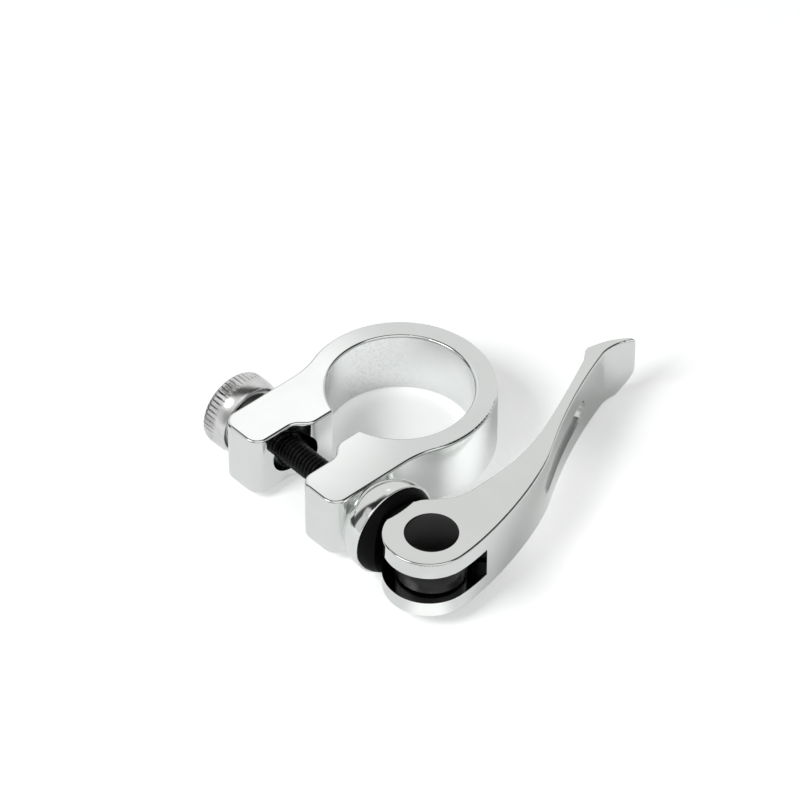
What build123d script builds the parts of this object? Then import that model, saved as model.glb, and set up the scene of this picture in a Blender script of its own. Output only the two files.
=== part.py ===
from build123d import *
import math
import os

# Frame: origin on the bore axis at the collar's middle height, Z up the bore,
# the slot and the ears towards -Y, the bolt along X with the lever at +X.
# Lengths in mm, angles in degrees.

# Collar: ring, ears, and the slot that is narrow at the bore and wider outside
BORE_RADIUS = 15.9
RING_WALL = 4.8
HEIGHT = 15.0
EAR_INSET = 2.8
EAR_BLEND = 20.0
EAR_BEYOND_BOLT = 9.8
EAR_OUTER_CORNER = 3.3
EAR_INNER_CORNER = 3.0
SLOT_NECK = 4.0
SLOT_NECK_LONG = 4.1
SLOT_STEP = 2.8
SLOT_STEP_LONG = 6.0
LIP_ROUND = 0.8
COLLAR_EDGE = 0.55

# Eye bolt
BOLT_RADIUS = 3.0
BOLT_BEYOND_BORE = 9.1
BOLT_SHY_OF_NUT = 0.5
BOLT_POINT = 0.6
EYE_WALL = 1.8
EYE_EDGE = 0.3
EYE_CLEARANCE = 0.05
NUT_EAR_CLEARANCE = 2.0
LEVER_EAR_CLEARANCE = 0.3

# Thumb nut
NUT_LONG = 8.0
NUT_RADIUS = 8.65
NUT_EDGE = 1.3
NUT_SHOULDER_RADIUS = 6.2
NUT_SHOULDER_LONG = 1.4
NUT_BULGE_LONG = 2.9
NUT_BULGE_STEP = 0.6
NUT_LIP = 0.35
NUT_DISH_DEEP = 1.0
NUT_CLEARANCE = 0.02
KNURL_COUNT = 48
KNURL_DEPTH = 0.3

# Cup washer and the seat inside it
CUP_DEPTH = 7.5
CUP_BASE_RADIUS = 7.0
CUP_RIM_RADIUS = 10.55
CUP_RIM_LIP = 0.6
CUP_RIM_ROUND = 0.25
CUP_BOW = 1.0
CUP_WALL = 0.5
CUP_FLOOR_THICK = 1.3
CUP_FLOOR_STEP = 0.6
CUP_INNER_BOW = 1.03
PASSAGE_CLEARANCE = 0.25
SEAT_SLACK = 0.05
SEAT_PROUD = 3.2
SEAT_RIM_LONG = 0.1
SEAT_NOSE = 2.2
SEAT_NOSE_BOW = 0.48
SEAT_HOLLOW_RADIUS = 19.0
SEAT_HOLLOW_RISE = 1.2
CAM_GAP = 0.1

# Lever fork, its cam and its pin
LEVER_WIDE = 15.0
LEVER_EDGE = 0.46
PIN_RADIUS = 5.75
PIN_PROUD = 0.35
PIN_CROWN = 0.3
PIN_EDGE = 0.35
CAM_RADIUS = 9.85
CAM_THROW = 0.45
CAM_DROP = 0.2
FORK_SIDE_GAP = 0.6
FORK_END_GAP = 0.25

# Lever arm: root, neck, knee, then the flicked finger tip
CAM_LEAVE_ANGLE = 141.6
THROAT_ROUND = 10.6
NECK_INWARD = 3.9
NECK_STRAIGHT = 0.4
NECK_TENSION = 0.34
ARM_TENSION = 0.62
SWELL_TENSION = 0.235
KNEE_INWARD = 1.3
KNEE_REACH = 35.4
KNEE_TENSION = 0.278
RUN_BOW_ANGLE = 7.4
LEVER_REACH = 72.5
LEVER_SWEEP = 14.9
ARM_END_ASIDE = 2.2
ARM_END_BACK = 12.8
ARM_END_ROUND = 2.5
HEEL_ASIDE = 4.5
HEEL_BACK = 10.05
HEEL_ROUND = 1.7
PALM_ASIDE = 4.3
PALM_BACK = 8.9
BEND_ASIDE = 0.56
BEND_BACK = 8.57
CREASE_ASIDE = 0.735
CREASE_BACK = 7.9
TIP_THICK = 1.25
TIP_SLANT = 0.25
TIP_ROUND = 0.54
TIP_CREST_ABOVE = 4.0
TIP_CREST_DROP = 1.5
TIP_TOP_SET_BACK = 0.6
TIP_LOW_SET_BACK = 4.8
PANEL_HALF = 2.5
PANEL_LONG = 27.4
PANEL_DEPTH = 0.9
PANEL_FROM_KNEE = 9.3

# Places that follow from the sizes
RING_RADIUS = BORE_RADIUS + RING_WALL
EAR_FACE = RING_RADIUS - EAR_INSET
BOLT_Y = -BORE_RADIUS - BOLT_BEYOND_BORE
EAR_TIP = EAR_BEYOND_BOLT - BOLT_Y
PASSAGE_RADIUS = BOLT_RADIUS + PASSAGE_CLEARANCE
CUP_FLOOR = EAR_FACE + CUP_FLOOR_THICK
CUP_FRONT = EAR_FACE + CUP_DEPTH
SEAT_FACE = CUP_FRONT + SEAT_HOLLOW_RISE
PIVOT_X = SEAT_FACE + CAM_GAP + CAM_RADIUS + CAM_THROW
EYE_RADIUS = PIN_RADIUS + EYE_WALL
FORK_HALF = BOLT_RADIUS + FORK_SIDE_GAP


def collar_half_outline():
    # The +X half of the plan outline, from the back of the ring round to the bore.
    reach = RING_RADIUS + EAR_BLEND
    blend_x = EAR_FACE + EAR_BLEND
    blend_y = -math.sqrt(reach**2 - blend_x**2)
    leave_x = blend_x * RING_RADIUS / reach
    leave_y = blend_y * RING_RADIUS / reach
    ring_sweep = math.degrees(math.atan2(leave_y, leave_x)) - 90
    blend_start = 180 + math.degrees(math.atan2(blend_y, blend_x))
    step_start = -BORE_RADIUS - SLOT_NECK_LONG
    step_end = step_start - SLOT_STEP_LONG
    step_turn = 2 * math.atan(SLOT_STEP / SLOT_STEP_LONG)
    step_radius = SLOT_STEP_LONG / (2 * math.sin(step_turn))
    step_degrees = math.degrees(step_turn)
    slot_wide = SLOT_NECK + SLOT_STEP
    outer_x = EAR_FACE - EAR_OUTER_CORNER
    outer_y = -EAR_TIP + EAR_OUTER_CORNER
    inner_x = slot_wide + EAR_INNER_CORNER
    inner_y = -EAR_TIP + EAR_INNER_CORNER
    lip_x = SLOT_NECK + LIP_ROUND
    lip_y = -math.sqrt((BORE_RADIUS + LIP_ROUND) ** 2 - lip_x**2)
    lip_degrees = math.degrees(math.atan2(lip_y, lip_x))
    neck_center = (SLOT_NECK + step_radius, step_start)
    return [
        CenterArc((0, 0), RING_RADIUS, 90, ring_sweep),
        CenterArc((blend_x, blend_y), EAR_BLEND, blend_start, 180 - blend_start),
        Line((EAR_FACE, blend_y), (EAR_FACE, outer_y)),
        CenterArc((outer_x, outer_y), EAR_OUTER_CORNER, 0, -90),
        Line((outer_x, -EAR_TIP), (inner_x, -EAR_TIP)),
        CenterArc((inner_x, inner_y), EAR_INNER_CORNER, -90, -90),
        Line((slot_wide, inner_y), (slot_wide, step_end)),
        CenterArc((slot_wide - step_radius, step_end), step_radius, 0, step_degrees),
        CenterArc(neck_center, step_radius, 180 + step_degrees, -step_degrees),
        Line((SLOT_NECK, step_start), (SLOT_NECK, lip_y)),
        CenterArc((lip_x, lip_y), LIP_ROUND, 180, lip_degrees),
        CenterArc((0, 0), BORE_RADIUS, lip_degrees, 90 - lip_degrees),
    ]


def ear_hole(radius, direction):
    # A hole through one ear on the bolt's axis, from the slot outwards.
    hole = Cylinder(radius, 2 * EAR_FACE, align=(Align.CENTER, Align.CENTER, Align.MIN))
    return Pos(0, BOLT_Y, 0) * Rot(0, 90 * direction, 0) * hole


def make_collar():
    right = collar_half_outline()
    left = [edge.mirror(Plane.YZ) for edge in right]
    body = extrude(make_face(right + left), HEIGHT / 2, both=True)
    low = body.faces().sort_by(Axis.Z)[0].edges()
    high = body.faces().sort_by(Axis.Z)[-1].edges()
    body = fillet(low + high, COLLAR_EDGE)
    body = body - ear_hole(BOLT_RADIUS + NUT_EAR_CLEARANCE, -1)
    return body - ear_hole(BOLT_RADIUS + LEVER_EAR_CLEARANCE, 1)


def at_pivot():
    return Pos(PIVOT_X, BOLT_Y, 0)


def make_eye_bolt():
    start = -EAR_FACE - NUT_LONG + BOLT_SHY_OF_NUT
    shank = Cylinder(BOLT_RADIUS, PIVOT_X - start, align=(Align.CENTER, Align.CENTER, Align.MIN))
    shank = chamfer(shank.edges().sort_by(Axis.Z)[0], BOLT_POINT)
    shank = Pos(start, BOLT_Y, 0) * Rot(0, 90, 0) * shank
    eye = Cylinder(EYE_RADIUS, 2 * BOLT_RADIUS)
    eye = chamfer(eye.edges().filter_by(GeomType.CIRCLE), EYE_EDGE)
    eye_hole = Cylinder(PIN_RADIUS + EYE_CLEARANCE, 4 * BOLT_RADIUS)
    return shank + at_pivot() * eye - at_pivot() * eye_hole


def make_pivot_pin():
    # A plain pin whose two ends are cut by large balls, so that they are slightly crowned.
    end = LEVER_WIDE / 2 + PIN_PROUD + PIN_CROWN
    crown_radius = (PIN_RADIUS**2 + PIN_CROWN**2) / (2 * PIN_CROWN)
    upper = Pos(0, 0, end - crown_radius) * Sphere(crown_radius)
    lower = Pos(0, 0, crown_radius - end) * Sphere(crown_radius)
    pin = Cylinder(PIN_RADIUS, 2 * end) & upper & lower
    pin = fillet(pin.edges().filter_by(GeomType.CIRCLE), PIN_EDGE)
    return at_pivot() * pin


def from_pivot(outward, along):
    return Vector(PIVOT_X + outward, BOLT_Y + along)


def from_tip(aside, back):
    return from_pivot(-LEVER_SWEEP - aside, LEVER_REACH - back)


def eased(start, start_way, start_tension, end, end_way, end_tension):
    # A smooth curve that leaves and arrives along the two ways given.
    long = (end - start).length
    near_start = start + start_way.normalized() * long * start_tension
    near_end = end - end_way.normalized() * long * end_tension
    return Bezier(start, near_start, near_end, end)


def lever_outer_edge():
    # The edge away from the ring: swell over the cam, knee, hollow run, crease, flick.
    knee = from_pivot(-KNEE_INWARD, KNEE_REACH)
    bend = from_tip(BEND_ASIDE, BEND_BACK)
    crease_end = from_tip(CREASE_ASIDE, CREASE_BACK)
    tip = from_tip(-TIP_THICK, TIP_SLANT)
    cam_right = from_pivot(CAM_RADIUS - CAM_THROW, -CAM_DROP)
    knee_way = (bend - knee).rotate(Axis.Z, RUN_BOW_ANGLE)
    swell = eased(cam_right, Vector(0, 1), SWELL_TENSION, knee, knee_way, KNEE_TENSION)
    run = TangentArc(knee, bend, tangent=knee_way)
    crease = TangentArc(bend, crease_end, tangent=run % 1)
    flick = TangentArc(crease_end, tip, tangent=crease % 1)
    return swell, run, crease, flick


def corner(sketch, point, radius):
    nearest = sketch.vertices().sort_by_distance(point)[0]
    return fillet(nearest, radius)


def lever_plan():
    # The cam circle runs into a sloping root, a throat, the arm's inner edge and the finger.
    cam_center = from_pivot(-CAM_THROW, -CAM_DROP)
    leave = math.radians(CAM_LEAVE_ANGLE)
    cam_left = cam_center + Vector(math.cos(leave), math.sin(leave)) * CAM_RADIUS
    neck_x = PIVOT_X - NECK_INWARD
    root_rise = (neck_x - cam_left.X) * math.tan(leave - math.pi / 2)
    root = Vector(neck_x, cam_left.Y + root_rise)
    neck_room = THROAT_ROUND * math.tan((math.pi - leave) / 2)
    neck = root + Vector(0, neck_room + NECK_STRAIGHT)
    arm_end = from_tip(ARM_END_ASIDE, ARM_END_BACK)
    heel = from_tip(HEEL_ASIDE, HEEL_BACK)
    palm_start = from_tip(PALM_ASIDE, PALM_BACK)
    tip_inner = from_tip(0, 0)
    tip_outer = from_tip(-TIP_THICK, TIP_SLANT)
    outer_edge = lever_outer_edge()
    arm_way = outer_edge[1] @ 1 - outer_edge[1] @ 0
    heel_side = Line(heel, palm_start)
    outline = [
        Line(cam_left, root),
        Line(root, neck),
        eased(neck, Vector(0, 1), NECK_TENSION, arm_end, arm_way, ARM_TENSION),
        Line(arm_end, heel),
        heel_side,
        TangentArc(palm_start, tip_inner, tangent=heel_side % 1),
        Line(tip_inner, tip_outer),
        CenterArc(cam_center, CAM_RADIUS, CAM_LEAVE_ANGLE, 360 - CAM_LEAVE_ANGLE),
    ]
    plan = make_face(outline + list(outer_edge))
    plan = corner(plan, root, THROAT_ROUND)
    plan = corner(plan, arm_end, ARM_END_ROUND)
    plan = corner(plan, heel, HEEL_ROUND)
    plan = corner(plan, tip_inner, TIP_ROUND)
    return corner(plan, tip_outer, TIP_ROUND)


def make_lever():
    body = extrude(lever_plan(), LEVER_WIDE / 2, both=True)
    low = body.faces().sort_by(Axis.Z)[0].edges()
    high = body.faces().sort_by(Axis.Z)[-1].edges()
    body = fillet(low + high, LEVER_EDGE)
    fork_deep = 4 * CAM_RADIUS
    fork = Box(fork_deep, fork_deep, 2 * FORK_HALF, align=(Align.CENTER, Align.MAX, Align.CENTER))
    fork = Pos(PIVOT_X, BOLT_Y + EYE_RADIUS + FORK_END_GAP, 0) * fork
    pin_hole = at_pivot() * Cylinder(PIN_RADIUS, 2 * LEVER_WIDE)
    return body - fork - pin_hole - lever_panel() - lever_tip_rounding()


def lever_panel():
    # A long round-ended pocket let into the outer face, its floor following the face.
    run = lever_outer_edge()[1]
    share = PANEL_FROM_KNEE / run.length
    middle = run @ share
    along = run % share
    outward = Vector(along.Y, -along.X, 0)
    face = Plane(origin=middle, x_dir=along, z_dir=outward)
    pocket = extrude(face * SlotOverall(PANEL_LONG, 2 * PANEL_HALF), PANEL_LONG / 4, both=True)
    center = run.arc_center
    floor = Pos(center.X, center.Y, 0) * Cylinder(run.radius + PANEL_DEPTH, LEVER_WIDE)
    return pocket & floor


def lever_tip_rounding():
    # Rounds the finger tip as seen from the side, most at the lower corner.
    tip = BOLT_Y + LEVER_REACH
    far = tip + LEVER_WIDE
    top = Vector(tip - TIP_TOP_SET_BACK, LEVER_WIDE / 2)
    high = Vector(tip, TIP_CREST_ABOVE)
    below = Vector(tip, TIP_CREST_ABOVE - TIP_CREST_DROP)
    low = Vector(tip - TIP_LOW_SET_BACK, -LEVER_WIDE / 2)
    above_far = (far, LEVER_WIDE)
    below_far = (far, -LEVER_WIDE)
    outside = Polyline(top, (top.X, LEVER_WIDE), above_far, below_far, (low.X, -LEVER_WIDE), low)
    side = [
        TangentArc(high, top, tangent=(0, 1)),
        Line(high, below),
        TangentArc(below, low, tangent=(0, -1)),
    ]
    return extrude(Plane.YZ * make_face(side + outside.edges()), 2 * PIVOT_X)


def turned(profile):
    # A closed outline of (x, radius) points turned about the bolt's axis.
    return Pos(0, BOLT_Y, 0) * revolve(make_face(profile), Axis.X)


def make_cup_washer():
    base = (EAR_FACE, CUP_BASE_RADIUS)
    shoulder = (CUP_FRONT - CUP_RIM_LIP, CUP_RIM_RADIUS)
    rim = (CUP_FRONT - CUP_RIM_ROUND, CUP_RIM_RADIUS)
    rim_middle = (rim[0], CUP_RIM_RADIUS - CUP_RIM_ROUND)
    mouth = (CUP_FRONT, CUP_RIM_RADIUS - CUP_WALL)
    floor = (CUP_FLOOR, CUP_BASE_RADIUS - CUP_FLOOR_STEP)
    profile = [
        SagittaArc(base, shoulder, CUP_BOW),
        Line(shoulder, rim),
        CenterArc(rim_middle, CUP_RIM_ROUND, 90, -90),
        Line((CUP_FRONT, rim_middle[1]), mouth),
        SagittaArc(floor, mouth, CUP_INNER_BOW),
        Polyline(floor, (CUP_FLOOR, PASSAGE_RADIUS), (EAR_FACE, PASSAGE_RADIUS), base),
    ]
    return turned(profile)


def make_cam_seat():
    rim_radius = CUP_RIM_RADIUS - CUP_WALL - SEAT_SLACK
    front = CUP_FRONT + SEAT_PROUD
    floor = (CUP_FLOOR, CUP_BASE_RADIUS - CUP_FLOOR_STEP - 2 * SEAT_SLACK)
    mouth = (CUP_FRONT, rim_radius)
    rim = (CUP_FRONT + SEAT_RIM_LONG, rim_radius)
    nose = (front, rim_radius - SEAT_NOSE)
    profile = [
        SagittaArc(floor, mouth, CUP_INNER_BOW - SEAT_SLACK / 2),
        Line(mouth, rim),
        SagittaArc(rim, nose, SEAT_NOSE_BOW),
        Polyline(nose, (front, PASSAGE_RADIUS), (CUP_FLOOR, PASSAGE_RADIUS), floor),
    ]
    hollow = Cylinder(SEAT_HOLLOW_RADIUS, 4 * CUP_RIM_RADIUS)
    return turned(profile) - Pos(SEAT_FACE + SEAT_HOLLOW_RADIUS, BOLT_Y, 0) * hollow


def make_thumb_nut():
    back = -EAR_FACE
    shoulder_end = back - NUT_SHOULDER_LONG
    knurl_start = shoulder_end - NUT_BULGE_LONG
    end = back - NUT_LONG
    bore = BOLT_RADIUS + NUT_CLEARANCE
    bulge = (shoulder_end, NUT_RADIUS - NUT_BULGE_STEP)
    lip = (shoulder_end, NUT_RADIUS - NUT_BULGE_STEP - NUT_LIP)
    dish = shoulder_end - NUT_DISH_DEEP
    crest = (knurl_start, NUT_RADIUS)
    edge = (end + NUT_EDGE, NUT_RADIUS)
    face = (end, NUT_RADIUS - NUT_EDGE)
    profile = [
        Polyline((back, bore), (back, NUT_SHOULDER_RADIUS), (dish, NUT_SHOULDER_RADIUS)),
        Polyline((dish, NUT_SHOULDER_RADIUS), (dish, lip[1]), lip, bulge),
        TangentArc(crest, bulge, tangent=(1, 0)),
        Line(crest, edge),
        RadiusArc(edge, face, -NUT_EDGE),
        Polyline(face, (end, bore), (back, bore)),
    ]
    bottom = NUT_RADIUS - KNURL_DEPTH
    top = NUT_RADIUS + KNURL_DEPTH
    spread = 2 * KNURL_DEPTH
    vee = make_face(Polyline((0, bottom), (spread, top), (-spread, top), close=True))
    groove = extrude(vee, knurl_start - end)
    place = Pos(end, BOLT_Y, 0) * Rot(0, 90, 0)
    grooves = [place * Rot(0, 0, 360 / KNURL_COUNT * turn) * groove for turn in range(KNURL_COUNT)]
    return turned(profile) - grooves


def main():
    os.makedirs("parts", exist_ok=True)
    makers = {
        "collar": make_collar,
        "eye_bolt": make_eye_bolt,
        "pivot_pin": make_pivot_pin,
        "lever": make_lever,
        "cup_washer": make_cup_washer,
        "cam_seat": make_cam_seat,
        "thumb_nut": make_thumb_nut,
    }
    for name, maker in makers.items():
        export_step(maker(), "parts/" + name + ".step")


main()
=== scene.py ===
import bmesh
import bpy
import math
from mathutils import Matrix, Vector


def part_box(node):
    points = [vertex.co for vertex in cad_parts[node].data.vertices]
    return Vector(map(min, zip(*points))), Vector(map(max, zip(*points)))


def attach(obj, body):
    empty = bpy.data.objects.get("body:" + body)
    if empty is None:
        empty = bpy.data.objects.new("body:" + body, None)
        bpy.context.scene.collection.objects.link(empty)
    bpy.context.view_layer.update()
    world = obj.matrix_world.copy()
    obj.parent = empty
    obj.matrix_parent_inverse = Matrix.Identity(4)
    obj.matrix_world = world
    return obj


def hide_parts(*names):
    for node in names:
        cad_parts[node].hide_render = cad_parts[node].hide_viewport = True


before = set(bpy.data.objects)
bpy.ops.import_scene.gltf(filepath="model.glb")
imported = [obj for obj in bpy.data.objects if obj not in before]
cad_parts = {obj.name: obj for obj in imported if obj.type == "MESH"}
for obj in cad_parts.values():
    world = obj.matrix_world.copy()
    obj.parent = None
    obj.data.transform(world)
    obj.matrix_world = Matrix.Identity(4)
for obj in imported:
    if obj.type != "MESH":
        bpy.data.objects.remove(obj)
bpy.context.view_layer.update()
MM = 0.001


# The collar: the split clamp ring with its two ears.
# It is cut from one aluminium bar, bored, and polished nearly to a mirror.
# Fine turning lines are left in the bore, and old stains on its nut side.
def add(tree, kind, inputs=None, **settings):
    node = tree.nodes.new(kind)
    for name, value in settings.items():
        setattr(node, name, value)
    for socket, value in (inputs or {}).items():
        if isinstance(value, bpy.types.NodeSocket):
            tree.links.new(value, node.inputs[socket])
        else:
            node.inputs[socket].default_value = value
    return node


def math_node(tree, operation, first, second=0.0):
    node = add(tree, "ShaderNodeMath", {0: first, 1: second}, operation=operation)
    return node.outputs[0]


def spread(tree, value, low, high, to_low, to_high, way="LINEAR"):
    node = add(
        tree,
        "ShaderNodeMapRange",
        {"Value": value, "From Min": low, "From Max": high, "To Min": to_low, "To Max": to_high},
        interpolation_type=way,
    )
    return node.outputs["Result"]


def new_material(name):
    material = bpy.data.materials.new(name)
    material.use_nodes = True
    material.node_tree.nodes.clear()
    return material, material.node_tree


def close_material(tree, shader):
    add(tree, "ShaderNodeOutputMaterial", {"Surface": shader.outputs[0]})


def object_place(tree):
    return add(tree, "ShaderNodeTexCoord").outputs["Object"]


def noise(tree, place, scale, detail, **more):
    inputs = {"Vector": place, "Scale": scale, "Detail": detail}
    inputs.update(more)
    return add(tree, "ShaderNodeTexNoise", inputs).outputs[0]


def shaded_colour(tree, colour, shade):
    return add(tree, "ShaderNodeVectorMath", {0: colour, "Scale": shade}, operation="SCALE").outputs[0]


def bumped(tree, height):
    # A normal from a height in metres.
    return add(tree, "ShaderNodeBump", {"Distance": 1.0, "Height": height}).outputs[0]


def make_polish_group():
    # Polishing lines, hand smudges and pin-prick pits, as masks and a height in metres.
    tree = bpy.data.node_groups.new("polish_marks", "ShaderNodeTree")
    face = tree.interface
    face.new_socket("Place", in_out="INPUT", socket_type="NodeSocketVector")
    face.new_socket("Stretch", in_out="INPUT", socket_type="NodeSocketVector")
    face.new_socket("Smudge Scale", in_out="INPUT", socket_type="NodeSocketFloat")
    face.new_socket("Pit Scale", in_out="INPUT", socket_type="NodeSocketFloat")
    for name in ("Lines", "Smudge", "Pits"):
        face.new_socket(name, in_out="OUTPUT", socket_type="NodeSocketFloat")
    given = add(tree, "NodeGroupInput").outputs
    drawn_out = add(
        tree,
        "ShaderNodeVectorMath",
        {0: given["Place"], 1: given["Stretch"]},
        operation="MULTIPLY",
    )
    lines = add(
        tree,
        "ShaderNodeTexNoise",
        {"Vector": drawn_out.outputs[0], "Scale": 1.0, "Detail": 3.0, "Roughness": 0.6},
    )
    smudge = add(
        tree,
        "ShaderNodeTexNoise",
        {"Vector": given["Place"], "Scale": given["Smudge Scale"], "Detail": 4.0, "Distortion": 0.6},
    )
    pits = add(
        tree,
        "ShaderNodeTexVoronoi",
        {"Vector": given["Place"], "Scale": given["Pit Scale"]},
    )
    pick = add(
        tree,
        "ShaderNodeTexNoise",
        {"Vector": given["Place"], "Scale": 210.0, "Detail": 1.0},
    )
    dots = spread(tree, pits.outputs["Distance"], 0.07, 0.12, 1.0, 0.0)
    chosen = spread(tree, pick.outputs[0], 0.6, 0.66, 0.0, 1.0)
    add(
        tree,
        "NodeGroupOutput",
        {
            "Lines": lines.outputs[0],
            "Smudge": smudge.outputs[0],
            "Pits": math_node(tree, "MULTIPLY", dots, chosen),
        },
    )
    return tree


polish_group = make_polish_group()


def polish_marks(tree, place, stretch, smudge_scale, pit_scale):
    node = add(tree, "ShaderNodeGroup", node_tree=polish_group)
    tree.links.new(place, node.inputs["Place"])
    node.inputs["Stretch"].default_value = stretch
    node.inputs["Smudge Scale"].default_value = smudge_scale
    node.inputs["Pit Scale"].default_value = pit_scale
    return node.outputs


BORE_RADIUS = 15.9 * MM

material, tree = new_material("collar_polish")
place = object_place(tree)
marks = polish_marks(tree, place, (900.0, 900.0, 5200.0), 95.0, 620.0)
apart = add(tree, "ShaderNodeSeparateXYZ", {0: place}).outputs
squared = math_node(
    tree,
    "ADD",
    math_node(tree, "MULTIPLY", apart["X"], apart["X"]),
    math_node(tree, "MULTIPLY", apart["Y"], apart["Y"]),
)
radius = math_node(tree, "SQRT", squared)
in_bore = spread(tree, radius, BORE_RADIUS + 0.05 * MM, BORE_RADIUS + 0.12 * MM, 1.0, 0.0)
turning = add(
    tree,
    "ShaderNodeTexNoise",
    {"W": math_node(tree, "MULTIPLY", apart["Z"], 3600.0), "Scale": 1.0, "Detail": 2.0},
    noise_dimensions="1D",
).outputs[0]
bore_lines = math_node(tree, "MULTIPLY", in_bore, turning)
rough = math_node(
    tree,
    "ADD",
    spread(tree, marks["Smudge"], 0.35, 0.68, 0.035, 0.07),
    spread(tree, bore_lines, 0.0, 1.0, 0.0, 0.16),
)
nut_way = math_node(tree, "ARCTAN2", apart["Y"], math_node(tree, "MULTIPLY", apart["X"], -1.0))
stain_side = math_node(
    tree,
    "MULTIPLY",
    spread(tree, nut_way, math.radians(-15), math.radians(0), 0.0, 1.0),
    spread(tree, nut_way, math.radians(22), math.radians(60), 1.0, 0.1),
)
blotches = noise(tree, place, 1500.0, 6.0, Roughness=0.75)
stained = math_node(
    tree,
    "MULTIPLY",
    math_node(tree, "MULTIPLY", in_bore, stain_side),
    spread(tree, blotches, 0.46, 0.72, 0.0, 1.0),
)
shade = math_node(
    tree,
    "SUBTRACT",
    spread(tree, marks["Smudge"], 0.3, 0.7, 1.0, 0.965),
    spread(tree, math_node(tree, "MULTIPLY", marks["Pits"], in_bore), 0.0, 1.0, 0.0, 0.45),
)
shade = math_node(tree, "MULTIPLY", shade, spread(tree, stained, 0.0, 1.0, 1.0, 0.76))
tint = shaded_colour(tree, (0.835, 0.855, 0.84), shade)
height = math_node(
    tree,
    "ADD",
    math_node(tree, "MULTIPLY", marks["Lines"], 0.00000025),
    math_node(tree, "MULTIPLY", bore_lines, 0.0000007),
)
shader = add(
    tree,
    "ShaderNodeBsdfPrincipled",
    {"Base Color": tint, "Metallic": 1.0, "Roughness": rough, "Normal": bumped(tree, height)},
)
close_material(tree, shader)
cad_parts["collar"].material_slots[0].material = material


# The cup washer: a thin polished bowl that sits between the ear and the cam seat.
# It is pressed from aluminium sheet and buffed, so that it is as bright as the collar.
material, tree = new_material("cup_polish")
place = object_place(tree)
marks = polish_marks(tree, place, (6000.0, 700.0, 700.0), 130.0, 500.0)
shade = spread(tree, marks["Smudge"], 0.3, 0.7, 1.0, 0.96)
shader = add(
    tree,
    "ShaderNodeBsdfPrincipled",
    {
        "Base Color": shaded_colour(tree, (0.85, 0.865, 0.85), shade),
        "Metallic": 1.0,
        "Roughness": spread(tree, marks["Smudge"], 0.35, 0.68, 0.07, 0.12),
        "Normal": bumped(tree, math_node(tree, "MULTIPLY", marks["Lines"], 0.0000004)),
    },
)
close_material(tree, shader)
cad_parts["cup_washer"].material_slots[0].material = material


# The cam seat: the black bush in the cup, hollowed for the cam to roll in.
# It is moulded in hard nylon with a fine matt grain, and darker where the cam has rubbed it.
material, tree = new_material("seat_nylon")
place = object_place(tree)
grain = noise(tree, place, 5200.0, 3.0)
patches = noise(tree, place, 260.0, 3.0)
shade = spread(tree, patches, 0.3, 0.7, 0.75, 1.2)
shader = add(
    tree,
    "ShaderNodeBsdfPrincipled",
    {
        "Base Color": shaded_colour(tree, (0.003, 0.003, 0.003), shade),
        "Roughness": spread(tree, patches, 0.3, 0.7, 0.46, 0.62),
        "Specular IOR Level": 0.07,
        "Normal": bumped(tree, math_node(tree, "MULTIPLY", grain, 0.000016)),
    },
)
close_material(tree, shader)
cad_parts["cam_seat"].material_slots[0].material = material


# The eye bolt: an M6 bolt whose lever end is a drum with the pin's hole through it.
# It is forged steel with a rolled thread, blackened, and oiled so that the thread's crests glint.
BOLT_Y = -25.0 * MM


def on_bolt(along, across, angle):
    return (along, BOLT_Y + across * math.cos(angle), across * math.sin(angle))


def on_pin(along, across, angle):
    return (PIVOT_X + across * math.cos(angle), BOLT_Y + across * math.sin(angle), along)


def turn(shape, profile, segments, closed, spot):
    # A surface of revolution about the bolt or the pin, from points of place along the axis and radius.
    rings = []
    for along, across in profile:
        ring = []
        for step in range(segments if across > 0 else 1):
            ring.append(shape.verts.new(spot(along, across, 2 * math.pi * step / segments)))
        rings.append(ring)
    pairs = list(zip(rings, rings[1:]))
    if closed:
        pairs.append((rings[-1], rings[0]))
    faces = []
    for one, two in pairs:
        for step in range(segments):
            after = (step + 1) % segments
            loop = []
            for ring, turn_step in ((one, step), (one, after), (two, after), (two, step)):
                corner = ring[turn_step % len(ring)]
                if corner not in loop:
                    loop.append(corner)
            faces.append(shape.faces.new(loop))
    bmesh.ops.recalc_face_normals(shape, faces=faces)


def new_piece(name, shape):
    mesh = bpy.data.meshes.new(name)
    shape.to_mesh(mesh)
    shape.free()
    piece = bpy.data.objects.new(name, mesh)
    bpy.context.scene.collection.objects.link(piece)
    return piece


def shaped_by(piece, tree, values):
    # Runs a node tree on a piece with the named values, and keeps the result as a plain mesh.
    modifier = piece.modifiers.new(tree.name, "NODES")
    modifier.node_group = tree
    for item in tree.interface.items_tree:
        if item.in_out == "INPUT" and item.name in values:
            modifier[item.identifier] = values[item.name]
    bpy.context.view_layer.update()
    ready = piece.evaluated_get(bpy.context.evaluated_depsgraph_get())
    mesh = bpy.data.meshes.new_from_object(ready)
    piece.modifiers.clear()
    piece.data = mesh
    mesh.shade_smooth()
    mesh.set_sharp_from_angle(angle=math.radians(38))


def start_shaping(name, sizes):
    tree = bpy.data.node_groups.new(name, "GeometryNodeTree")
    tree.interface.new_socket("Geometry", in_out="INPUT", socket_type="NodeSocketGeometry")
    for size in sizes:
        tree.interface.new_socket(size, in_out="INPUT", socket_type="NodeSocketFloat")
    tree.interface.new_socket("Finish", in_out="INPUT", socket_type="NodeSocketMaterial")
    tree.interface.new_socket("Geometry", in_out="OUTPUT", socket_type="NodeSocketGeometry")
    return tree, add(tree, "NodeGroupInput").outputs


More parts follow.
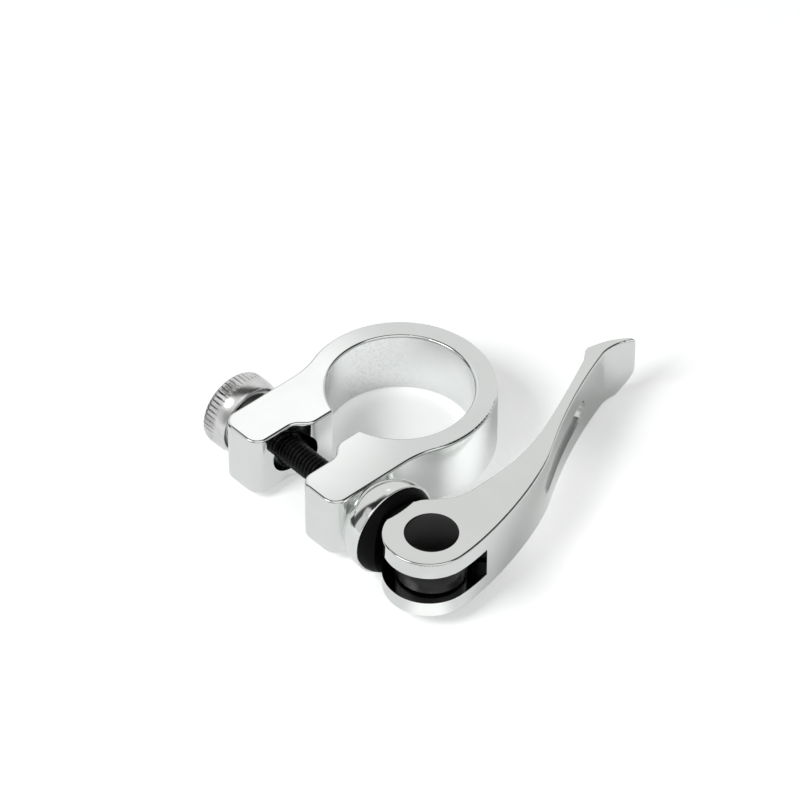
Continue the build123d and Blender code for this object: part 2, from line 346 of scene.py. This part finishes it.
def round_the_axis(tree, axis_y):
    # A point's place along the bolt's axis, distance from it, way out, and part of a turn round it.
    place = add(tree, "GeometryNodeInputPosition").outputs[0]
    apart = add(tree, "ShaderNodeSeparateXYZ", {0: place}).outputs
    aside = math_node(tree, "SUBTRACT", apart["Y"], axis_y)
    outward = add(tree, "ShaderNodeCombineXYZ", {"Y": aside, "Z": apart["Z"]}).outputs[0]
    distance = add(tree, "ShaderNodeVectorMath", {0: outward}, operation="LENGTH").outputs["Value"]
    way = add(tree, "ShaderNodeVectorMath", {0: outward}, operation="NORMALIZE").outputs[0]
    angle = math_node(tree, "ARCTAN2", apart["Z"], aside)
    return apart["X"], distance, way, math_node(tree, "DIVIDE", angle, 2 * math.pi)


def end_shaping(tree, shape, finish, way, distance, wanted, present):
    # Draws each point in to the wanted distance from the axis, never out, where the pattern is present.
    kept = math_node(tree, "MINIMUM", distance, wanted)
    change = math_node(tree, "SUBTRACT", kept, distance)
    offset = add(tree, "ShaderNodeVectorMath", {0: way, "Scale": change}, operation="SCALE")
    moved = add(
        tree,
        "GeometryNodeSetPosition",
        {"Geometry": shape["Geometry"], "Selection": present, "Offset": offset.outputs[0]},
    )
    real = add(tree, "GeometryNodeRealizeInstances", {0: moved.outputs[0]})
    coated = add(
        tree,
        "GeometryNodeSetMaterial",
        {"Geometry": real.outputs[0], "Material": finish},
    )
    add(tree, "NodeGroupOutput", {"Geometry": coated.outputs[0]})


def make_thread_tree():
    sizes = ("Axis Y", "Crest Radius", "Depth", "Pitch", "Thread End", "Run Out")
    tree, given = start_shaping("rolled_thread", sizes)
    along, distance, way, turns = round_the_axis(tree, given["Axis Y"])
    lead = math_node(tree, "DIVIDE", along, given["Pitch"])
    phase = math_node(tree, "SUBTRACT", lead, turns)
    wave = math_node(tree, "PINGPONG", phase, 0.5)
    groove = spread(tree, wave, 0.07, 0.40, 0.0, 1.0)
    stop = math_node(tree, "ADD", given["Thread End"], given["Run Out"])
    present = spread(tree, along, given["Thread End"], stop, 1.0, 0.0)
    cut = math_node(tree, "MULTIPLY", math_node(tree, "MULTIPLY", groove, present), given["Depth"])
    wanted = math_node(tree, "SUBTRACT", given["Crest Radius"], cut)
    end_shaping(tree, given, given["Finish"], way, distance, wanted, present)
    return tree


def make_bolt_finish():
    material, tree = new_material("bolt_black")
    place = object_place(tree)
    patches = noise(tree, place, 420.0, 4.0)
    grain = noise(tree, place, 7000.0, 2.0)
    shade = spread(tree, patches, 0.3, 0.7, 0.7, 1.3)
    shader = add(
        tree,
        "ShaderNodeBsdfPrincipled",
        {
            "Base Color": shaded_colour(tree, (0.0045, 0.0045, 0.0044), shade),
            "Roughness": spread(tree, patches, 0.3, 0.7, 0.24, 0.42),
            "Specular IOR Level": 0.26,
            "Normal": bumped(tree, math_node(tree, "MULTIPLY", grain, 0.000006)),
        },
    )
    close_material(tree, shader)
    return material


low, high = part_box("eye_bolt")
SHANK_RADIUS = high.z
DRUM_RADIUS = (high.y - low.y) / 2
PIVOT_X = high.x - DRUM_RADIUS
PIN_HOLE = 5.8 * MM
PITCH = 1.0 * MM
THREAD_END = 9.0 * MM
ROWS_PER_PITCH = 14

profile = [(low.x, 0.0), (low.x, SHANK_RADIUS - 0.6 * MM)]
start = low.x + 0.02 * MM
rows = int((THREAD_END + 2 * PITCH - start) / PITCH * ROWS_PER_PITCH)
for row in range(rows + 1):
    along = start + row * PITCH / ROWS_PER_PITCH
    profile.append((along, min(SHANK_RADIUS, SHANK_RADIUS - 0.58 * MM + (along - low.x))))
profile.append((PIVOT_X - PIN_HOLE - 0.6 * MM, SHANK_RADIUS))
profile.append((PIVOT_X - PIN_HOLE - 0.6 * MM, 0.0))
shape = bmesh.new()
turn(shape, profile, 64, False, on_bolt)
DRUM_EDGE = 0.3 * MM
drum_profile = [
    (-SHANK_RADIUS, PIN_HOLE),
    (-SHANK_RADIUS, DRUM_RADIUS - DRUM_EDGE),
    (-SHANK_RADIUS + 0.3 * DRUM_EDGE, DRUM_RADIUS - 0.3 * DRUM_EDGE),
    (-SHANK_RADIUS + DRUM_EDGE, DRUM_RADIUS),
    (SHANK_RADIUS - DRUM_EDGE, DRUM_RADIUS),
    (SHANK_RADIUS - 0.3 * DRUM_EDGE, DRUM_RADIUS - 0.3 * DRUM_EDGE),
    (SHANK_RADIUS, DRUM_RADIUS - DRUM_EDGE),
    (SHANK_RADIUS, PIN_HOLE),
]
turn(shape, drum_profile, 96, True, on_pin)
bolt = new_piece("bolt_and_eye", shape)
shaped_by(
    bolt,
    make_thread_tree(),
    {
        "Axis Y": BOLT_Y,
        "Crest Radius": SHANK_RADIUS,
        "Depth": 0.6 * MM,
        "Pitch": PITCH,
        "Thread End": THREAD_END,
        "Run Out": 1.5 * PITCH,
        "Finish": make_bolt_finish(),
    },
)
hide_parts("eye_bolt")
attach(bolt, "bolt")


# The lever: two cam cheeks round the drum, a tapering arm and a finger tip that flicks outwards.
# It is forged aluminium, milled between the cheeks and then polished.
# The bare panel let into its outer face has a blasted satin ground.
material, tree = new_material("lever_polish")
place = object_place(tree)
marks = polish_marks(tree, place, (2400.0, 500.0, 2400.0), 80.0, 480.0)
shade = spread(tree, marks["Smudge"], 0.3, 0.7, 1.0, 0.955)
tint = shaded_colour(tree, (0.83, 0.85, 0.83), shade)
apart = add(tree, "ShaderNodeSeparateXYZ", {0: place}).outputs
PANEL_MIDDLE = 17.75 * MM
PANEL_STRAIGHT = 10.0 * MM
PANEL_HALF = 2.46 * MM
ARM_MIDDLE = 37.6 * MM
ARM_LEAN = -0.475
ARM_STRETCH = math.hypot(1.0, ARM_LEAN)
from_panel = math_node(tree, "ABSOLUTE", math_node(tree, "SUBTRACT", apart["Y"], PANEL_MIDDLE))
past_straight = math_node(tree, "MAXIMUM", math_node(tree, "SUBTRACT", from_panel, PANEL_STRAIGHT), 0.0)
past_straight = math_node(tree, "MULTIPLY", past_straight, ARM_STRETCH)
from_spine = add(tree, "ShaderNodeCombineXYZ", {"X": past_straight, "Y": apart["Z"]})
from_spine = add(tree, "ShaderNodeVectorMath", {0: from_spine.outputs[0]}, operation="LENGTH")
middle = math_node(tree, "ADD", math_node(tree, "MULTIPLY", apart["Y"], ARM_LEAN), ARM_MIDDLE)
in_panel = math_node(
    tree,
    "MULTIPLY",
    math_node(tree, "LESS_THAN", from_spine.outputs["Value"], PANEL_HALF),
    math_node(tree, "GREATER_THAN", apart["X"], middle),
)
blasted = noise(tree, place, 3800.0, 3.0)
height = math_node(
    tree,
    "ADD",
    math_node(tree, "MULTIPLY", marks["Lines"], 0.0000004),
    math_node(tree, "MULTIPLY", math_node(tree, "MULTIPLY", blasted, in_panel), 0.00003),
)
rough = math_node(
    tree,
    "ADD",
    spread(tree, marks["Smudge"], 0.35, 0.68, 0.04, 0.075),
    math_node(tree, "MULTIPLY", in_panel, 0.24),
)
shader = add(
    tree,
    "ShaderNodeBsdfPrincipled",
    {"Base Color": tint, "Metallic": 1.0, "Roughness": rough, "Normal": bumped(tree, height)},
)
close_material(tree, shader)
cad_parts["lever"].material_slots[0].material = material


# The pivot pin: a plain pin with domed ends, pressed into the cheeks through the drum.
# It is turned steel with a satin black coat.
low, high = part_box("pivot_pin")
PIN_RADIUS = (high.x - low.x) / 2
PIN_DOME = 0.7 * MM
PIN_EDGE = 0.12 * MM
dome_round = (PIN_RADIUS**2 + PIN_DOME**2) / (2 * PIN_DOME)
upper_end = [(high.z, 0.0)]
for step in range(1, 15):
    across = (PIN_RADIUS - PIN_EDGE) * step / 14
    upper_end.append((high.z - dome_round + math.sqrt(dome_round**2 - across**2), across))
upper_end.append((high.z - PIN_DOME - PIN_EDGE, PIN_RADIUS))
lower_end = [(-along, across) for along, across in reversed(upper_end)]
shape = bmesh.new()
turn(shape, upper_end + lower_end, 96, False, on_pin)
pin = new_piece("domed_pin", shape)
pin.data.shade_smooth()
material, tree = new_material("pin_black")
place = object_place(tree)
patches = noise(tree, place, 300.0, 4.0)
grain = noise(tree, place, 6000.0, 3.0)
shade = spread(tree, patches, 0.3, 0.7, 0.85, 1.15)
shader = add(
    tree,
    "ShaderNodeBsdfPrincipled",
    {
        "Base Color": shaded_colour(tree, (0.003, 0.003, 0.0028), shade),
        "Roughness": spread(tree, patches, 0.3, 0.7, 0.22, 0.3),
        "Specular IOR Level": 0.2,
        "Normal": bumped(tree, math_node(tree, "MULTIPLY", grain, 0.000008)),
    },
)
close_material(tree, shader)
pin.data.materials.append(material)
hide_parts("pivot_pin")
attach(pin, "lever")


# The thumb nut: a round nut on the bolt's thread, turned by hand to set the clamp.
# It is turned from aluminium bar with a straight knurl pressed round its outer half, left satin.
KNURL_COUNT = 48
low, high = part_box("thumb_nut")
NUT_RADIUS = high.z
NUT_BACK = high.x
NUT_FACE = low.x


def make_knurl_tree():
    sizes = ("Axis Y", "Radius", "Depth", "Count", "Start", "Full")
    sizes += ("Dish Floor", "Dish Mouth", "Dish Inside", "Dish Outside")
    tree, given = start_shaping("straight_knurl", sizes)
    along, distance, way, turns = round_the_axis(tree, given["Axis Y"])
    wave = math_node(tree, "PINGPONG", math_node(tree, "MULTIPLY", turns, given["Count"]), 0.5)
    present = spread(tree, along, given["Full"], given["Start"], 1.0, 0.0)
    half_wide = spread(tree, present, 0.0, 1.0, 0.06, 0.18)
    groove = spread(tree, wave, 0.0, half_wide, 1.0, 0.0)
    mark = math_node(tree, "MULTIPLY", groove, present)
    wanted = math_node(tree, "SUBTRACT", given["Radius"], math_node(tree, "MULTIPLY", mark, given["Depth"]))
    in_dish = math_node(
        tree,
        "MULTIPLY",
        math_node(tree, "GREATER_THAN", distance, given["Dish Inside"]),
        math_node(tree, "LESS_THAN", distance, given["Dish Outside"]),
    )
    # Painted shade: the dish behind the lip is darkened, most at its floor, and so are the knurl's grooves
    # near the rim, where shade falls in them.
    dish_shade = math_node(
        tree,
        "MULTIPLY",
        in_dish,
        spread(tree, along, given["Dish Floor"], given["Dish Mouth"], 1.0, 0.0),
    )
    rim = math_node(tree, "SUBTRACT", given["Radius"], math_node(tree, "MULTIPLY", given["Depth"], 1.4))
    on_rim = spread(tree, distance, rim, given["Radius"], 0.0, 0.62)
    groove_shade = math_node(tree, "MAXIMUM", math_node(tree, "MULTIPLY", mark, on_rim), dish_shade)
    marked = add(
        tree,
        "GeometryNodeStoreNamedAttribute",
        {"Geometry": given["Geometry"], "Name": "groove_shade", "Value": groove_shade},
        data_type="FLOAT",
        domain="POINT",
    )
    end_shaping(tree, marked.outputs, given["Finish"], way, distance, wanted, present)
    return tree


def make_nut_finish():
    material, tree = new_material("nut_satin")
    place = object_place(tree)
    marks = polish_marks(tree, place, (7000.0, 900.0, 900.0), 240.0, 900.0)
    shade = math_node(
        tree,
        "SUBTRACT",
        spread(tree, marks["Smudge"], 0.3, 0.7, 1.04, 0.9),
        math_node(tree, "MULTIPLY", marks["Pits"], 0.35),
    )
    groove_shade = add(tree, "ShaderNodeAttribute", attribute_name="groove_shade").outputs["Fac"]
    # Painted shade: the knurl's grooves and the dish behind the lip are darkened here.
    shade = math_node(tree, "MULTIPLY", shade, spread(tree, groove_shade, 0.08, 0.9, 1.0, 0.1))
    shader = add(
        tree,
        "ShaderNodeBsdfPrincipled",
        {
            "Base Color": shaded_colour(tree, (0.83, 0.835, 0.825), shade),
            "Metallic": 1.0,
            "Roughness": spread(tree, marks["Smudge"], 0.35, 0.68, 0.24, 0.31),
            "Normal": bumped(tree, math_node(tree, "MULTIPLY", marks["Lines"], 0.000003)),
        },
    )
    close_material(tree, shader)
    return material


def arc(middle, radius, start, end, steps):
    # Points of a round edge in the plane of the axis, by angles in degrees from the axis's way.
    points = []
    for step in range(steps + 1):
        angle = math.radians(start + (end - start) * step / steps)
        points.append((middle[0] + radius * math.cos(angle), middle[1] + radius * math.sin(angle)))
    return points


SHOULDER_END = NUT_BACK - 1.4 * MM
DISH_FLOOR = SHOULDER_END - 1.0 * MM
KNURL_START = SHOULDER_END - 2.9 * MM
LIP_RADIUS = NUT_RADIUS - 0.6 * MM
LIP_HALF = 0.175 * MM
NUT_EDGE = 1.3 * MM
NUT_BORE = 3.02 * MM
bulge_drop = NUT_RADIUS - LIP_RADIUS
bulge_round = ((SHOULDER_END - KNURL_START) ** 2 + bulge_drop**2) / (2 * bulge_drop)
profile = [(NUT_BACK, NUT_BORE + 0.3 * MM)]
profile += arc((NUT_BACK - 0.25 * MM, 5.95 * MM), 0.25 * MM, 0, 90, 4)
profile += arc((DISH_FLOOR + 0.3 * MM, 6.5 * MM), 0.3 * MM, -90, -180, 3)
profile += arc((DISH_FLOOR + 0.3 * MM, LIP_RADIUS - 2 * LIP_HALF - 0.3 * MM), 0.3 * MM, 180, 90, 3)
profile += arc((SHOULDER_END - LIP_HALF, LIP_RADIUS - LIP_HALF), LIP_HALF, -90, 82, 8)
for step in range(1, 17):
    along = SHOULDER_END - LIP_HALF + (KNURL_START - SHOULDER_END + LIP_HALF) * step / 16
    across = NUT_RADIUS - bulge_round + math.sqrt(bulge_round**2 - (along - KNURL_START) ** 2)
    profile.append((along, across))
for step in range(1, 13):
    profile.append((KNURL_START + (NUT_FACE + NUT_EDGE - KNURL_START) * step / 12, NUT_RADIUS))
profile += arc((NUT_FACE + NUT_EDGE, NUT_RADIUS - NUT_EDGE), NUT_EDGE, 90, 180, 10)[1:]
profile += [(NUT_FACE, NUT_BORE + 0.55 * MM), (NUT_FACE + 0.5 * MM, NUT_BORE)]
profile += [(NUT_BACK - 0.3 * MM, NUT_BORE)]
shape = bmesh.new()
turn(shape, profile, KNURL_COUNT * 12, True, on_bolt)
nut = new_piece("knurled_nut", shape)
shaped_by(
    nut,
    make_knurl_tree(),
    {
        "Axis Y": BOLT_Y,
        "Radius": NUT_RADIUS,
        "Depth": 0.4 * MM,
        "Count": float(KNURL_COUNT),
        "Start": KNURL_START + 0.5 * MM,
        "Full": KNURL_START - 1.3 * MM,
        "Dish Floor": DISH_FLOOR + 0.3 * MM,
        "Dish Mouth": SHOULDER_END - 0.05 * MM,
        "Dish Inside": LIP_RADIUS - 2 * LIP_HALF - 0.32 * MM,
        "Dish Outside": LIP_RADIUS - 2 * LIP_HALF + 0.02 * MM,
        "Finish": make_nut_finish(),
    },
)
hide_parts("thumb_nut")
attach(nut, "nut")


# The floor: a white sheet that the clamp lies on, touching the cup, the nut and the back of the ring.
# It is tipped to meet those three, because the clamp is modelled square to its own bore.
cup_low, cup_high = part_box("cup_washer")
ring_low, ring_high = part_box("collar")
CUP_SPOT = (cup_high.x - 0.4 * MM, cup_low.z)
NUT_SPOT = ((NUT_FACE + KNURL_START) / 2, -NUT_RADIUS)
slope_x = (CUP_SPOT[1] - NUT_SPOT[1]) / (CUP_SPOT[0] - NUT_SPOT[0])
level = NUT_SPOT[1] - slope_x * NUT_SPOT[0]
slope_y = 0.0
ring_reach = ring_high.y - 0.55 * MM
while level - slope_y * BOLT_Y + ring_reach * math.hypot(slope_x, slope_y) < ring_low.z:
    slope_y += 0.0001
shape = bmesh.new()
FLOOR_HALF = 4.0
corners = []
for x, y in ((-1, -1), (1, -1), (1, 1), (-1, 1)):
    x, y = x * FLOOR_HALF, y * FLOOR_HALF
    corners.append(shape.verts.new((x, y, level + slope_x * x + slope_y * (y - BOLT_Y))))
shape.faces.new(corners)
floor = new_piece("floor", shape)
material, tree = new_material("white_sheet")
rays = add(tree, "ShaderNodeLightPath").outputs
seen = math_node(tree, "MAXIMUM", rays["Is Camera Ray"], rays["Is Transmission Ray"])
place = object_place(tree)


def pool(tree, middle, inner, outer, strength):
    # A soft pool of painted brightness round a spot of the floor.
    spot = (middle[0] * MM, middle[1] * MM, middle[2] * MM)
    away = add(tree, "ShaderNodeVectorMath", {0: place, 1: spot}, operation="DISTANCE").outputs["Value"]
    return spread(tree, away, inner * MM, outer * MM, strength, 0.0, "SMOOTHSTEP")


def across_floor(tree, bearing):
    # How far a spot of the floor lies along a level bearing, in metres.
    level_way = (math.cos(math.radians(bearing)), math.sin(math.radians(bearing)), 0.0)
    node = add(tree, "ShaderNodeVectorMath", {0: place, 1: level_way}, operation="DOT_PRODUCT")
    return node.outputs["Value"]


FLOOR_WHITE = (0.82, 0.825, 0.83)
FLOOR_GLOW = 0.42
MIRRORED_GLOW = 0.18
FRONT_BEARING = -42.3
RIGHT_BEARING = 47.7
# Painted light: soft pools lighten the floor seen by the camera beside the lever's arm and beside the ring,
# in their shadows.
painted_light_by_arm = pool(tree, (38.0, 12.0, -10.0), 8.0, 26.0, 0.13)
painted_light_by_ring = pool(tree, (16.0, 21.0, -8.5), 4.0, 15.0, 0.05)
painted_light = math_node(tree, "ADD", painted_light_by_arm, painted_light_by_ring)
# Painted shade and painted reflection: inside the ring the floor is darker to the camera and brighter as
# the polish mirrors it.
painted_in_ring = pool(tree, (0.0, 0.0, -8.5), 11.0, 17.0, 0.16)
# Painted reflection: beside the ring and beside the fork the floor is brighter only as the polish mirrors
# it.
by_ring = pool(tree, (26.0, 7.5, -9.0), 4.0, 22.0, 0.34)
by_fork = pool(tree, (48.0, -36.0, -11.5), 4.0, 13.0, 0.38)
pools = math_node(tree, "ADD", math_node(tree, "ADD", by_ring, by_fork), MIRRORED_GLOW)
pools = math_node(tree, "ADD", pools, painted_in_ring)
mirrored = math_node(tree, "MULTIPLY", rays["Is Glossy Ray"], pools)
straight = math_node(tree, "ADD", math_node(tree, "SUBTRACT", FLOOR_GLOW, painted_in_ring), painted_light)
glow = math_node(tree, "ADD", math_node(tree, "MULTIPLY", seen, straight), mirrored)
# Painted shade: the floor towards the front and right, and under the arm, is darker only as the polish
# mirrors it.
painted_dark_side = math_node(
    tree,
    "MULTIPLY",
    spread(tree, across_floor(tree, RIGHT_BEARING), -0.07, -0.05, 1.0, 0.0),
    spread(tree, across_floor(tree, FRONT_BEARING), 0.0, 0.02, 1.0, 0.0),
)
painted_shade_under_arm = pool(tree, (22.0, 37.0, -8.0), 3.0, 9.5, 0.2)
dim = math_node(tree, "MULTIPLY", rays["Is Glossy Ray"], math_node(tree, "MAXIMUM", painted_dark_side, painted_shade_under_arm))
sheet = shaded_colour(tree, FLOOR_WHITE, spread(tree, dim, 0.0, 1.0, 1.0, 0.05))
glow = math_node(tree, "MULTIPLY", glow, spread(tree, dim, 0.0, 1.0, 1.0, 0.1))
shader = add(
    tree,
    "ShaderNodeBsdfPrincipled",
    {
        "Base Color": sheet,
        "Roughness": 0.9,
        "Specular IOR Level": 0.0,
        "Emission Color": (1.0, 1.0, 1.0, 1.0),
        "Emission Strength": glow,
    },
)
close_material(tree, shader)
floor.data.materials.append(material)


# The studio: a white wall behind the clamp, a soft box over its front, dark openings at both sides.
# One soft lamp throws the shadows. Only the polish mirrors the room; the camera sees white.
world = bpy.data.worlds.new("white_room")
bpy.context.scene.world = world
world.use_nodes = True
tree = world.node_tree
tree.nodes.clear()
rays = add(tree, "ShaderNodeLightPath").outputs
way = add(tree, "ShaderNodeTexCoord").outputs["Generated"]
rise = add(tree, "ShaderNodeSeparateXYZ", {0: way}).outputs["Z"]


def towards(tree, bearing):
    # How far a way points along a level bearing, from -1 to 1.
    level_way = (math.cos(math.radians(bearing)), math.sin(math.radians(bearing)), 0.0)
    node = add(tree, "ShaderNodeVectorMath", {0: way, 1: level_way}, operation="DOT_PRODUCT")
    return node.outputs["Value"]


forward = towards(tree, FRONT_BEARING)
aside = towards(tree, RIGHT_BEARING)
wall_edge = spread(tree, aside, -0.5, -0.2, -0.4, -0.57)
before_edge = math_node(tree, "SUBTRACT", forward, wall_edge)
dark_level = spread(tree, aside, -0.9, -0.6, 0.08, 0.025)
wall = spread(tree, before_edge, -0.07, 0.07, 0.78, dark_level, "SMOOTHSTEP")
left_top = spread(tree, rise, 0.68, 0.8, -0.3, -0.03)
left_edge = spread(tree, rise, 0.42, 0.55, -0.1, left_top)
right_low = spread(tree, rise, 0.5, 0.6, -0.6, 0.33)
right_edge = spread(tree, rise, 0.8, 0.92, right_low, 0.0)
near_edge = spread(tree, aside, -0.25, 0.25, -0.03, right_edge)
dark_edge = spread(tree, aside, -0.75, -0.55, left_edge, near_edge)
past_edge = math_node(tree, "SUBTRACT", forward, dark_edge)
soft_box = math_node(
    tree,
    "MULTIPLY",
    spread(tree, past_edge, -0.03, 0.04, 0.0, 1.0, "SMOOTHSTEP"),
    spread(tree, rise, 0.5, 0.62, 0.5, 1.0, "SMOOTHSTEP"),
)
soft_box = math_node(tree, "MULTIPLY", soft_box, spread(tree, aside, -0.3, -0.05, 0.62, 1.0))
left_sheet = math_node(
    tree,
    "MULTIPLY",
    spread(tree, past_edge, -0.03, 0.04, 0.0, 1.0, "SMOOTHSTEP"),
    spread(tree, aside, -0.85, -0.7, 0.66, 0.0),
)
soft_box = math_node(tree, "MAXIMUM", soft_box, left_sheet)
LAMP_WAY = Vector((-0.28, -0.55, 0.79)).normalized()
to_lamp = add(tree, "ShaderNodeVectorMath", {0: way, 1: LAMP_WAY}, operation="DOT_PRODUCT").outputs["Value"]
lamp = spread(
    tree,
    to_lamp,
    math.cos(math.radians(16)),
    math.cos(math.radians(10)),
    0.0,
    3.0,
    "SMOOTHSTEP",
)
soft_box = math_node(tree, "MAXIMUM", soft_box, lamp)
horizon = math_node(
    tree,
    "MULTIPLY",
    spread(tree, rise, 0.03, 0.16, 0.5, 0.02, "SMOOTHSTEP"),
    spread(tree, aside, -0.85, -0.5, 0.06, 1.0),
)
room_level = math_node(tree, "MAXIMUM", math_node(tree, "MAXIMUM", wall, soft_box), horizon)
seen = math_node(tree, "MAXIMUM", rays["Is Camera Ray"], rays["Is Transmission Ray"])
level = spread(tree, rays["Is Glossy Ray"], 0.0, 1.0, 0.33, room_level)
room = add(
    tree,
    "ShaderNodeBackground",
    {"Color": (1.0, 1.0, 1.0, 1.0), "Strength": spread(tree, seen, 0.0, 1.0, level, 1.0)},
)
add(tree, "ShaderNodeOutputWorld", {"Surface": room.outputs[0]})

# The bright card over the nut-side ear fades out towards its rim. It glows only in the polish's mirror and
# lights nothing: a painted reflection on the top of that ear.
CARD_SPOT = Vector((-0.014, -0.026, 0.0075)) + Vector((-0.5406, 0.4919, 0.6825)) * 0.3
shape = bmesh.new()
away = Vector((-0.5406, 0.4919, 0.6825)).normalized()
side = away.cross(Vector((0, 0, 1))).normalized()
lift = side.cross(away)
corners = []
for across, up in ((-1, -1), (1, -1), (1, 1), (-1, 1)):
    corners.append(shape.verts.new(CARD_SPOT + side * (across * 0.07) + lift * (up * 0.07)))
shape.faces.new(corners)
bright_card = new_piece("bright_card", shape)
material, tree = new_material("bright_card")
place = object_place(tree)
from_middle = add(
    tree,
    "ShaderNodeVectorMath",
    {0: place, 1: CARD_SPOT},
    operation="DISTANCE",
).outputs["Value"]
clear = add(tree, "ShaderNodeBsdfTransparent")
lit = add(tree, "ShaderNodeEmission", {"Color": (1.0, 1.0, 1.0, 1.0), "Strength": 1.15})
shown = spread(tree, from_middle, 0.012, 0.034, 1.0, 0.0, "SMOOTHSTEP")
mixed = add(tree, "ShaderNodeMixShader", {0: shown, 1: clear.outputs[0], 2: lit.outputs[0]})
close_material(tree, mixed)
bright_card.data.materials.append(material)
bright_card.visible_camera = False
bright_card.visible_diffuse = False
bright_card.visible_shadow = False
bright_card.visible_transmission = False

key_light = bpy.data.lights.new("soft_lamp", "AREA")
key_light.shape = "SQUARE"
key_light.size = 0.8
key_light.energy = 29.0
key = bpy.data.objects.new("soft_lamp", key_light)
key_way = Vector((-0.12, -0.69, 0.71)).normalized()
key.location = key_way * 2.2
key.rotation_euler = key_way.to_track_quat("Z", "Y").to_euler()
key.visible_glossy = False
bpy.context.scene.collection.objects.link(key)


# The camera: a long lens from above the clamp's front right, as in the photograph.
LOOK_AT = Vector((-3.912, 3.454, -1.262)) * MM
LOOK_BACK = Vector((0.5406, -0.4919, 0.6825)).normalized()
lens = bpy.data.cameras.new("camera")
lens.lens = 252.0
lens.sensor_width = 36.0
camera = bpy.data.objects.new("camera", lens)
camera.location = LOOK_AT + LOOK_BACK * 1.1964
camera.rotation_euler = LOOK_BACK.to_track_quat("Z", "Y").to_euler()
bpy.context.scene.collection.objects.link(camera)
bpy.context.scene.camera = camera
bpy.context.scene.view_settings.view_transform = "Standard"
